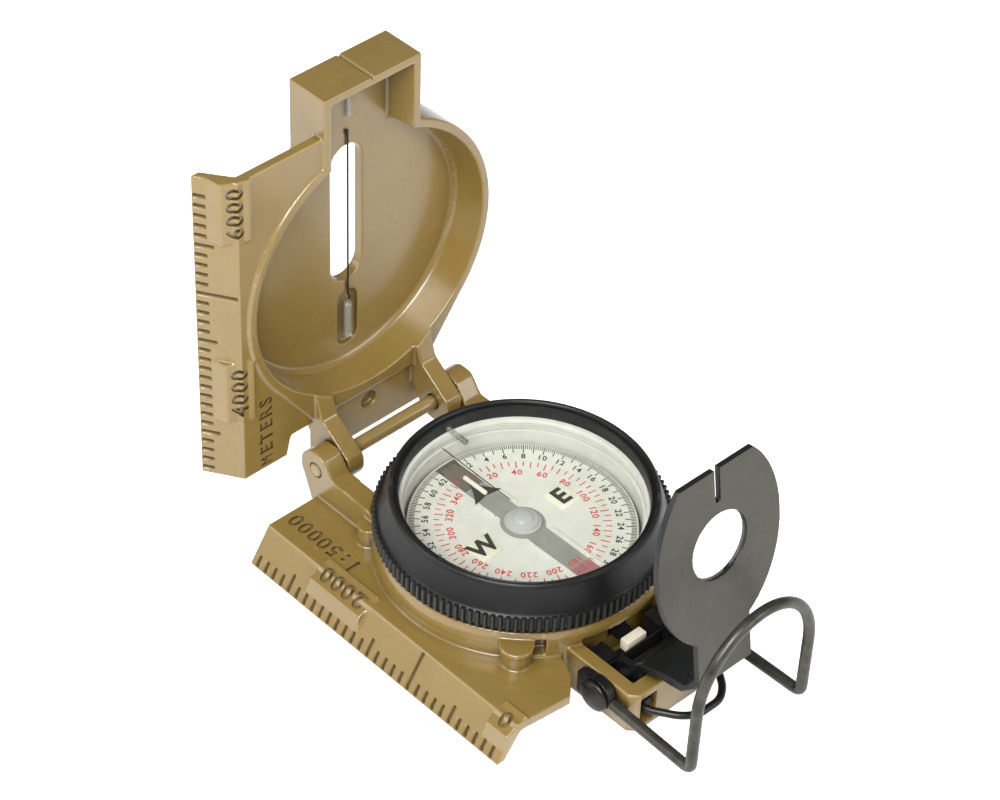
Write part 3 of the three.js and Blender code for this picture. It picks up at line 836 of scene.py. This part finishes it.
def cover_shell():
    skirt = prism("Y", [(-13.2, 18), (-21.6, 29.6), (21.6, 29.6), (13.2, 18)], COVER_RIM, 43.0)
    lip = block(-12, 12, COVER_FACE + 0.3, COVER_FACE + 2.3, 8.4, CUP_Z - 18)
    hood = block(-BOX_HALF, BOX_HALF, COVER_RIM, COVER_BACK, CUP_Z + 15, BOX_TOP)
    middle = HINGE.y + 10 * TICK_PITCH
    top = HINGE.y + PLATE_TOP - HINGE.z
    pads = [number_pad(middle - PAD_HALF, middle + PAD_HALF), number_pad(top - TOP_PAD, top)]
    pads = [turned(pad, UPRIGHT) for pad in pads]
    shell = union(cover_cup(), hood, lip, skirt, cover_plate(), cover_arm(-1), cover_arm(1), *pads)
    dish = lathe([
        (0, COVER_FLOOR), (CUP_FLOOR_R - 0.8, COVER_FLOOR), (CUP_FLOOR_R, COVER_FLOOR - 0.8),
        (CUP_INNER, COVER_RIM), (CUP_INNER, COVER_RIM - 2), (0, COVER_RIM - 2),
    ], "Y", (0, CUP_Z))
    inside = BOX_HALF - BOX_WALL
    cutters = [
        dish,
        block(-inside, inside, COVER_RIM - 1, COVER_FLOOR, CUP_Z + 10, BOX_TOP - BOX_WALL),
        prism("Y", capsule(0, SLOT_LOW, SLOT_HIGH, SLOT_HALF), 40, 50),
        prism("Y", capsule(0.1, 24.0, 35.8, 2.3), 43, COVER_FLOOR + 1.0),
        block(-0.3, 0.3, 30, 50, BOX_TOP - 0.5, BOX_TOP + 1),
        rod("Y", (0, 14.8), 35, COVER_FACE + 1.5, 1.75),
        rod("X", (HINGE.y, HINGE.z), -14, 14, 1.45),
    ]
    cut(shell, *cutters)
    cast(shell, 0.2, 5)
    engravings = [
        ruler_cutters(31, 60),
        pad_number("4000", middle),
        pad_number("6000", top - TOP_PAD / 2),
        flat_lettering("METERS", -23.4, HINGE.y + 8.9, 3.8, 2.6, 0.92),
    ]
    return cut(shell, *[turned(cutter, UPRIGHT) for cutter in engravings])


# ---- bezel -------------------------------------------------------------------------------------------
def bezel_ring():
    root = BEZEL_R - 0.55
    ring = lathe([
        (22.3, BEZEL_LOW), (22.7, BEZEL_LOW), (22.7, 13.8), (23.8, 13.8), (23.8, BEZEL_LOW),
        (root - 0.2, BEZEL_LOW), (root, BEZEL_LOW + 0.25),
        (root, KNURL_TOP - 0.25), (root - 0.3, KNURL_TOP),
        (24.55, KNURL_TOP + 0.15), (24.3, KNURL_TOP + 0.5), (23.1, 20.3), (BEZEL_RIM_R, 20.75),
        (BEZEL_RIM_R - 0.3, BEZEL_TOP), (22.35, BEZEL_TOP), (22.1, 20.85), (21.95, 20.45), (21.6, 20.4),
        (21.45, 20.5), (21.25, 20.4), (GLASS_BORE, 20.1), (GLASS_BORE, 17.6), (22.3, 17.6),
    ], sides=240)
    ribs = []
    half = [(root - 0.2, -0.43), (BEZEL_R - 0.12, -0.26), (BEZEL_R, -0.14)]
    section = half + [(x, -y) for x, y in reversed(half)]
    for k in range(KNURL_RIBS):
        rib = prism("Z", section, BEZEL_LOW + 0.15, KNURL_TOP - 0.1)
        ribs.append(turned(rib, Matrix.Rotation(2 * math.pi * k / KNURL_RIBS, 4, "Z")))
    return union(ring, gather(ribs))


def glass_seat():
    """The pale ring inside the bezel that its glass rests on."""
    return lathe([(20.5, 17.35), (GLASS_BORE - 0.02, 17.35), (GLASS_BORE - 0.02, GLASS_LOW - 0.02),
                  (20.5, GLASS_LOW - 0.02)])


def dial_well():
    """The pale cup that holds the dial."""
    floor, wall = 2.1, 0.5
    outer = WELL_R - 0.03
    return lathe([(1.5, floor), (outer, floor), (outer, SEAT_Z), (outer - wall, SEAT_Z),
                  (outer - wall, floor + 0.6), (1.5, floor + 0.6)])


def glass_disc(radius, low, high, edge=0.15):
    return lathe([(0, low), (radius - edge, low), (radius, low + edge), (radius, high - edge),
                  (radius - edge, high), (0, high)], sides=144)


def glass_tube(axis, centre, low, high, radius, wall):
    """A closed tube with domed ends and a bore that opens at one end."""
    dome = [(radius * 0.6, low + radius * 0.12), (radius, low + radius * 0.6)]
    top = [(radius, high - radius * 0.6), (radius * 0.6, high - radius * 0.12)]
    inner = radius - wall
    bore = [(inner, high - radius * 0.3), (inner, low + radius * 0.7), (0, low + radius * 0.5)]
    return lathe([(0, low)] + dome + top + bore, axis, centre, 32)


# ---- dial --------------------------------------------------------------------------------------------
def on_dial(obj):
    return turned(obj, Matrix.Rotation(DIAL_HEADING, 4, "Z"))


def bearing(angle):
    """Unit vector from the dial's centre at a bearing in degrees, clockwise from north (+Y)."""
    turn = math.radians(angle)
    return Vector((math.sin(turn), math.cos(turn), 0))


def mark(angle, inner, outer, width):
    """The outline of one printed radial line."""
    out = bearing(angle)
    side = Vector((out.y, -out.x, 0)) * width / 2
    outline = []
    for point in (out * inner - side, out * inner + side, out * outer + side, out * outer - side):
        outline.append((point.x, point.y))
    return outline


def print_layer(outlines, texts):
    bm = bmesh.new()
    low, high = CARD_TOP + 0.01, CARD_TOP + 0.01 + PRINT
    for outline in outlines:
        ends = [[bm.verts.new((x, y, z)) for x, y in outline] for z in (low, high)]
        bm.faces.new(ends[0])
        bm.faces.new(ends[1])
        for i in range(4):
            j = (i + 1) % 4
            bm.faces.new((ends[0][i], ends[0][j], ends[1][j], ends[1][i]))
    for text in texts:
        bm.from_mesh(text.data)
    drop(*texts)
    return on_dial(solid(bm))


def dial_number(text, angle, radius, size):
    out = bearing(angle)
    reading = Vector((out.y, -out.x, 0))
    place = out * radius + Vector((0, 0, CARD_TOP + 0.01 + PRINT / 2))
    return lettering(text, size, size * 0.58, PRINT, place, reading, (0, 0, 1))


def black_scale():
    """Outer scale in mils: a line every 20, longer every 100, a number every 200."""
    lines = []
    for k in range(320):
        mils = 20 * k
        inner = 17.4 if mils % 100 == 0 else 18.35
        width = 0.17 if mils % 100 == 0 else 0.15
        lines.append(mark(mils * 360 / 6400, inner, 19.35, width))
    numbers = []
    for hundreds in range(2, 64, 2):
        numbers.append(dial_number(str(hundreds), hundreds * 360 / 64, 16.5, 1.6))
    return print_layer(lines, numbers)


def red_scale():
    """Inner scale in degrees: a line every 5, longer every 10, a number every 20."""
    lines = []
    for degrees in range(0, 360, 5):
        inner = 13.55 if degrees % 10 == 0 else 14.1
        lines.append(mark(degrees, inner, 15.1, 0.2))
    numbers = [dial_number(str(d), d, 12.4, 1.75) for d in range(20, 360, 20)]
    return print_layer(lines, numbers)


def dial_card():
    return lathe([(2.4, CARD_LOW), (DIAL_R - 0.1, CARD_LOW), (DIAL_R, CARD_LOW + 0.1),
                  (DIAL_R, CARD_TOP - 0.1), (DIAL_R - 0.1, CARD_TOP), (2.4, CARD_TOP)])


def magnet_overlay():
    """The grey bar and hub ring as seen from above."""
    low, high = CARD_TOP + 0.005, CARD_TOP + 0.035
    bar = block(-2.15, 2.15, -19.0, 19.0, low, high)
    return on_dial(union(bar, rod("Z", (0, 0), low - 0.001, high + 0.001, 3.9, sides=72)))


def magnet_end(y0, y1):
    """Darker print over one end of the bar."""
    return on_dial(block(-2.12, 2.12, y0, y1, CARD_TOP + 0.012, CARD_TOP + 0.0375))


def magnet_rails():
    """Pale ridges along both sides of the bar."""
    rails = []
    for side in (-1, 1):
        for y0, y1 in ((-17.0, -4.2), (4.2, 8.2)):
            x = side * 2.65
            rail = block(x - 0.25, x + 0.25, y0, y1, CARD_TOP + 0.01, CARD_TOP + 0.45)
            rails.append(bevelled(rail, 0.15))
    return on_dial(gather(rails))


def jewel_cap():
    """Clear stepped dome over the pivot jewel."""
    low = CARD_TOP + 0.1
    steps = [
        (0, 0), (3.15, 0), (3.2, 0.35), (3.0, 0.5), (2.8, 0.5), (2.6, 0.95),
        (2.2, 1.15), (1.9, 1.15), (1.7, 1.5), (1.1, 1.75), (0, 1.85),
    ]
    return on_dial(lathe([(r, low + h) for r, h in steps], sides=64))


def north_arrow():
    """Dark arrow whose sides curve in to its point."""
    left = []
    for k in range(9):
        t = k / 8
        left.append((-3.0 * (1 - t) ** 1.6, 8.4 + 5.6 * t))
    notch = [(0.0, 8.9)]
    outline = left + [(-x, y) for x, y in reversed(left[:-1])] + notch
    return on_dial(prism("Z", outline, CARD_TOP + 0.04, CARD_TOP + 0.2))


def compass_point(letter, x):
    place = (x, 0, CARD_TOP + 0.32)
    return on_dial(lettering(letter, 4.9, 0, 0.12, place, (1, 0, 0), (0, 0, 1), 1.0, 0.03))


def luminous_pad(side):
    pad = block(side * 9.4 - 2.3, side * 9.4 + 2.3, -2.5, 2.5, CARD_TOP + 0.01, CARD_TOP + 0.24)
    return on_dial(bevelled(pad, 0.12))


# ---- small parts -------------------------------------------------------------------------------------
def in_sight_frame(obj):
    """From the rear sight's own upright frame, centred on its axle, to its place leaning in the row."""
    return turned(obj, Matrix.Translation(AXLE) @ Matrix.Rotation(-SIGHT_LEAN, 4, "X"))


def sight_outline():
    top = math.degrees(math.asin((SIGHT_TOP - SIGHT_CENTRE) / SIGHT_HALF_Z))
    neck = math.degrees(math.acos(SIGHT_NECK / SIGHT_HALF_X))
    right = []
    steps = 48
    for k in range(steps + 1):
        turn = math.radians(-neck + (top + neck) * k / steps)
        right.append((SIGHT_HALF_X * math.cos(turn), SIGHT_CENTRE + SIGHT_HALF_Z * math.sin(turn)))
    left = [(-x, z) for x, z in reversed(right)]
    return [(SIGHT_NECK, SIGHT_FOOT)] + right + left + [(-SIGHT_NECK, SIGHT_FOOT)]


LEG_TOP = [(-SIGHT_REACH, 7.5), (-13.5, 4.9), (-8.0, 4.65), (-3.4, 3.7)]


def sight_leg():
    """The leg that the sight's plate is bent up from."""
    outer = -SIGHT_REACH - SIGHT_SHEET
    under = [(-3.4, 2.5), (-8.0, 3.45), (-13.1, 3.7), (-15.8, SIGHT_FOOT)]
    under += [(outer, SIGHT_FOOT), (outer, 7.5)]
    return prism("X", LEG_TOP + under, -SIGHT_NECK, SIGHT_NECK)


def sight_cheek(side):
    """The flange down one side of the leg, which ends in an eye round the axle."""
    low, high = sorted((side * SIGHT_NECK, side * (SIGHT_NECK - SIGHT_SHEET)))
    outline = LEG_TOP + [(-1.35, 2.35)] + arc(0, 0, 2.7, 60, -180, 40)
    outline += [(-3.15, 2.1), (-7.7, 3.0), (-12.5, 3.05), (-SIGHT_REACH - 0.3, SIGHT_FOOT - 0.5)]
    return prism("X", outline, low, high)


def rear_sight():
    plate = prism("Y", sight_outline(), -SIGHT_REACH - SIGHT_SHEET, -SIGHT_REACH)
    shell = union(plate, sight_leg(), sight_cheek(-1), sight_cheek(1))
    cut(
        shell,
        rod("Y", (0, LENS_Z), -20, -10, LENS_R, sides=96),
        block(-0.55, 0.55, -20, -10, SIGHT_TOP - 6.2, SIGHT_TOP + 1),
        rod("X", (0, 0), -10, 10, 1.4),
        prism("Z", [(-4.4, -14.6), (-2.6, -11.5), (-4.1, -11.9)], 4.5, 8),
    )
    return in_sight_frame(cast(shell, 0.15, 4))


def magnifying_lens():
    middle = -SIGHT_REACH - SIGHT_SHEET / 2
    radius = LENS_R - 0.15
    bulge = []
    for k in range(9):
        r = radius * k / 8
        bulge.append((r, 0.35 + 0.4 * (1 - (r / radius) ** 2)))
    front = [(r, middle - h) for r, h in bulge]
    back = [(r, middle + h) for r, h in reversed(bulge)]
    return in_sight_frame(lathe(front + back, "Y", (0, LENS_Z), 72))


def sight_well_plate():
    """Near-black plate in the floor of the frame, turned up in front of the lever's pad: painted shade that
    makes the inside of the frame read as deep shadow.
    """
    low, inside = FRAME_FLOOR + 0.05, FRAME_INNER - 0.25
    floor_plate = block(-inside, inside, BAR_BACK + 0.3, -24.2, low, low + 0.5)
    front = block(-inside, inside, -28.65, -28.2, low, 6.3)
    sides = [block(x0, x1, -28.4, -24.4, low, 7.0) for x0, x1 in ((-inside, -4.9), (4.9, inside))]
    return bevelled(union(floor_plate, front, *sides), 0.12)


def lift_lever():
    """Lever under the dial: a bar with an eye round the post, and a neck that carries the pad."""
    top = node_box("lift_lever")[1].z
    low, high = top - 2.9, top - 1.9
    bar = block(-1.5, 1.5, -24.8, -3, low, high)
    neck = block(-1.4, 1.4, -26.4, -24.6, low, high - 0.2)
    lever = union(bar, neck, rod("Z", (0, 0), low, high, 3.8))
    return bevelled(cut(lever, rod("Z", (0, 0), 0, 20, 1.8)), 0.15)


def lever_pad():
    top = node_box("lift_lever")[1].z
    return bevelled(block(-2.2, 2.2, -27.9, -26.1, top - 3.5, top - 1.3), 0.15)


def thumb_loop():
    leg_z = AXLE.z - 0.5
    arch = []
    for k in range(33):
        turn = math.pi * (1 - k / 32)
        rise = (LOOP_ARCH - LOOP_SHOULDER) * math.sin(turn)
        arch.append((LOOP_HALF * math.cos(turn), LOOP_Y, LOOP_SHOULDER + rise))
    left = smooth_path([(-12.45, AXLE.y - 2.9, leg_z), (-12.6, -41, leg_z), (-LOOP_HALF, LOOP_Y, leg_z),
                        (-LOOP_HALF, LOOP_Y, LOOP_SHOULDER)], 1.6)
    right = [Vector((-p.x, p.y, p.z)) for p in reversed(left)]
    return tube(left[:-1] + arch + right[1:], LOOP_WIRE, 24)


def loop_eyes():
    """The plates at the ends of the thumb loop, which turn on the axle."""
    eyes = []
    for low in (-13.3, 11.6):
        y, z = AXLE.y, AXLE.z
        outline = arc(y, z, 3.2, -110, -60, 6) + [(y + 4.4, z - 2.2), (y + 4.4, z + 2.2)]
        outline += arc(y, z, 3.2, 60, 200, 20)
        eyes.append(prism("X", outline, low, low + 1.7))
    return cast(cut(gather(eyes), rod("X", (AXLE.y, AXLE.z), -15, 15, 1.4)), 0.14, 3)


def axle_pin():
    """The shared axle with its two domed heads."""
    head, dome = 13.5, []
    for k in range(9):
        turn = math.pi / 2 * k / 8
        dome.append((2.95 * math.cos(turn), head + 0.25 + 0.95 * math.sin(turn)))
    right = [(1.2, head), (2.85, head)] + dome
    left = [(r, -x) for r, x in reversed(right)]
    return lathe(left + right, "X", (AXLE.y, AXLE.z), 48)


def bail():
    """Bent wire with its ends hooked into the pockets of the bar."""
    y, z = BAIL.y, BAIL.z
    half = [(5.5, y, z), (8.3, y, z), (7.9, y - 1.8, z), (5.1, -43.0, z), (2.6, -44.8, z)]
    left = [(-a, b, c) for a, b, c in half]
    return tube(smooth_path(left + list(reversed(half)), 1.4), 0.68, 18)


def hinge_pin():
    """Hinge rod, its chamfered ends just past the knuckles."""
    return rod("X", (HINGE.y, HINGE.z), -17.6, 17.6, 1.3, 0.25)


def cover_wire():
    """Sighting wire, stretched over the slot with a small hook at each end."""
    y = COVER_FLOOR - 0.3
    path = [(0, y + 0.1, 68.9), (-0.5, y, 69.6), (0, y, 70.0)]
    path += [(0, y, 35.0), (0.5, y, 34.4), (0.1, y + 0.1, 33.8)]
    return tube(smooth_path(path, 0.35), 0.17, 12)


# ---- assembly ----------------------------------------------------------------------------------------
def keep_cad(name, material):
    """A CAD node that stays as it is, with its own finish."""
    slots = frame["nodes"][name].data.materials
    slots.clear()
    slots.append(material)


piece(base_shell(), "base_shell", "base", PAINT, ["base_casting"], 45)
piece(reclined(cover_shell()), "cover_shell", "cover", PAINT, ["cover_casting"], 45)

piece(bezel_ring(), "bezel_knurled_ring", "bezel", BLACK, ["bezel_ring"])
piece(glass_seat(), "bezel_glass_seat", "bezel", WELL)
piece(glass_disc(20.95, GLASS_LOW, GLASS_HIGH),
      "bezel_window", "bezel", GLASS, ["bezel_glass"])
vial_low, vial_high = node_box("bezel_vial")
vial_x, vial_z = (vial_low.x + vial_high.x) / 2, (vial_low.z + vial_high.z) / 2
piece(glass_tube("Y", (vial_x, vial_z), vial_low.y, vial_high.y, 0.5, 0.16),
      "bezel_vial_tube", "bezel", VIAL_GLASS, ["bezel_vial"])

piece(glass_disc(20.45, CRYSTAL_LOW, CRYSTAL_HIGH),
      "crystal_disc", "base", CRYSTAL, ["fixed_crystal"])
piece(block(-0.09, 0.09, 3.4, 20.3, CRYSTAL_LOW - 0.08, CRYSTAL_LOW - 0.02),
      "index_line", "base", INK)
piece(dial_well(), "dial_well", "base", WELL, ["damping_cup"])

piece(on_dial(dial_card()), "dial_disc", "dial", CARD, ["dial_card"])
piece(black_scale(), "dial_mil_scale", "dial", INK)
piece(red_scale(), "dial_degree_scale", "dial", RED_INK)
piece(magnet_overlay(), "dial_magnet_bar", "dial", MAGNET)
piece(magnet_end(11.8, 19.1), "dial_north_print", "dial", NORTH_PRINT)
piece(magnet_end(-17.3, -13.4), "dial_south_print", "dial", SOUTH_PRINT)
piece(magnet_rails(), "dial_magnet_rails", "dial", CARD)
piece(jewel_cap(), "dial_jewel_dome", "dial", JEWEL, ["dial_jewel_cap"])
piece(north_arrow(), "dial_north_arrow", "dial", DARK_MARK)
piece(on_dial(glass_tube("Y", (0, CARD_TOP + 0.55), 8.8, 14.4, 0.42, 0.12)),
      "dial_north_vial", "dial", LUMINOUS, ["north_vial"])
for side, letter, node in ((1, "E", "east_mark"), (-1, "W", "west_mark")):
    piece(luminous_pad(side), f"dial_pad_{letter}", "dial", LUMINOUS, [node])
    piece(compass_point(letter, side * 9.2), f"dial_letter_{letter}", "dial", DARK_MARK)

piece(hinge_pin(), "hinge_rod", "base", PAINT, ["hinge_pin"])
piece(reclined(cover_wire()), "sighting_wire", "cover", BLACK_STEEL, ["sight_wire"])
piece(reclined(glass_tube("Z", (0.1, COVER_FLOOR - 0.2), 25.4, 33.4, 0.8, 0.2)),
      "cover_vial_low", "cover", VIAL_GLASS, ["cover_lower_vial"])
piece(reclined(glass_tube("Z", (0, COVER_FLOOR - 0.55), 72.6, 76.8, 0.5, 0.14)),
      "cover_vial_high", "cover", VIAL_GLASS, ["cover_upper_vial"])

piece(axle_pin(), "sight_axle_pin", "base", BLACK_STEEL, ["pivot_axle"])
piece(thumb_loop(), "thumb_loop_wire", "thumb_loop", LOOP_COAT, ["thumb_loop"])
piece(loop_eyes(), "thumb_loop_eyes", "thumb_loop", BLACK_STEEL)
piece(lift_lever(), "lift_lever_bar", "lever", BLACK_STEEL, ["lift_lever"])
piece(lever_pad(), "lift_lever_pad", "lever", NYLON)
# painted shade: a dark plate that darkens the inside of the sight frame
piece(sight_well_plate(), "sight_well_plate", "base", BLACK_STEEL)
piece(rear_sight(), "rear_sight_bracket", "rear_sight", SIGHT_SHADED, ["rear_sight_plate"])
piece(magnifying_lens(), "sight_lens", "rear_sight", GLASS, ["magnifying_lens"])
piece(bail(), "lanyard_wire", "bail", BLACK_STEEL, ["lanyard_bail"])

for node, material in {
    "base_bottom_plate": ALUMINIUM, "pivot_post": BRASS,
    "lift_sleeve": BRASS, "crystal_gasket": WELL, "click_spring": STEEL, "dial_magnet": STEEL,
    "hinge_washer_left": BLACK_STEEL, "hinge_washer_right": BLACK_STEEL, "sight_spring": STEEL,
}.items():
    keep_cad(node, material)


# ---- studio ------------------------------------------------------------------------------------------
def floor():
    mesh = bpy.data.meshes.new("floor")
    size = 3.0
    corners = [(-size, -size, 0), (size, -size, 0), (size, size, 0), (-size, size, 0)]
    mesh.from_pydata(corners, [], [(0, 1, 2, 3)])
    plane = linked(mesh)
    plane.location.z = -0.0001
    nodes = Nodes("pale_floor")
    tone = nodes.mix(nodes.spread(nodes.noise(60.0), 0, 1), (0.9, 0.9, 0.9, 1), (0.93, 0.93, 0.93, 1))
    seen = nodes.add("ShaderNodeLightPath").outputs["Is Camera Ray"]
    glow = nodes.add("ShaderNodeMath", {0: seen, 1: 0.45, 2: 0.3}, operation="MULTIPLY_ADD").outputs[0]
    mesh.materials.append(nodes.shade(Base_Color=tone, Roughness=0.7, Specular_IOR_Level=0.1,
                                      Emission_Color=(1, 1, 1, 1), Emission_Strength=glow))


def area_light(name, place, target, size, power):
    data = bpy.data.lights.new(name, "AREA")
    data.shape = "RECTANGLE"
    data.size, data.size_y = size
    data.energy = power
    light = bpy.data.objects.new(name, data)
    bpy.context.scene.collection.objects.link(light)
    light.location = place
    light.rotation_euler = (Vector(target) - Vector(place)).to_track_quat("-Z", "Y").to_euler()


def studio():
    floor()
    world = bpy.data.worlds.new("studio")
    world.use_nodes = True
    background = world.node_tree.nodes["Background"]
    background.inputs["Color"].default_value = (1, 1, 1, 1)
    background.inputs["Strength"].default_value = 0.22
    bpy.context.scene.world = world
    aim = (0, 0, 0.03)
    area_light("key", (-0.4, -0.22, 0.56), aim, (0.4, 0.4), 7.2)
    area_light("left", (-0.55, 0.35, 0.3), aim, (0.3, 0.4), 1.2)
    area_light("front", (0.25, -0.6, 0.35), aim, (0.4, 0.3), 2.0)


def camera():
    data = bpy.data.cameras.new("camera")
    data.sensor_width = 36.0
    data.lens = VIEW_LENS
    data.clip_start, data.clip_end = 0.05, 20.0
    view = bpy.data.objects.new("camera", data)
    bpy.context.scene.collection.objects.link(view)
    turn = Matrix.Rotation(VIEW_AZIMUTH, 4, "Z") @ Matrix.Rotation(math.pi / 2 - VIEW_ELEVATION, 4, "X")
    view.matrix_world = Matrix.Translation(VIEW_PLACE * MM) @ turn @ Matrix.Rotation(VIEW_ROLL, 4, "Z")
    bpy.context.scene.camera = view


studio()
camera()
bpy.context.scene.view_settings.view_transform = "Standard"
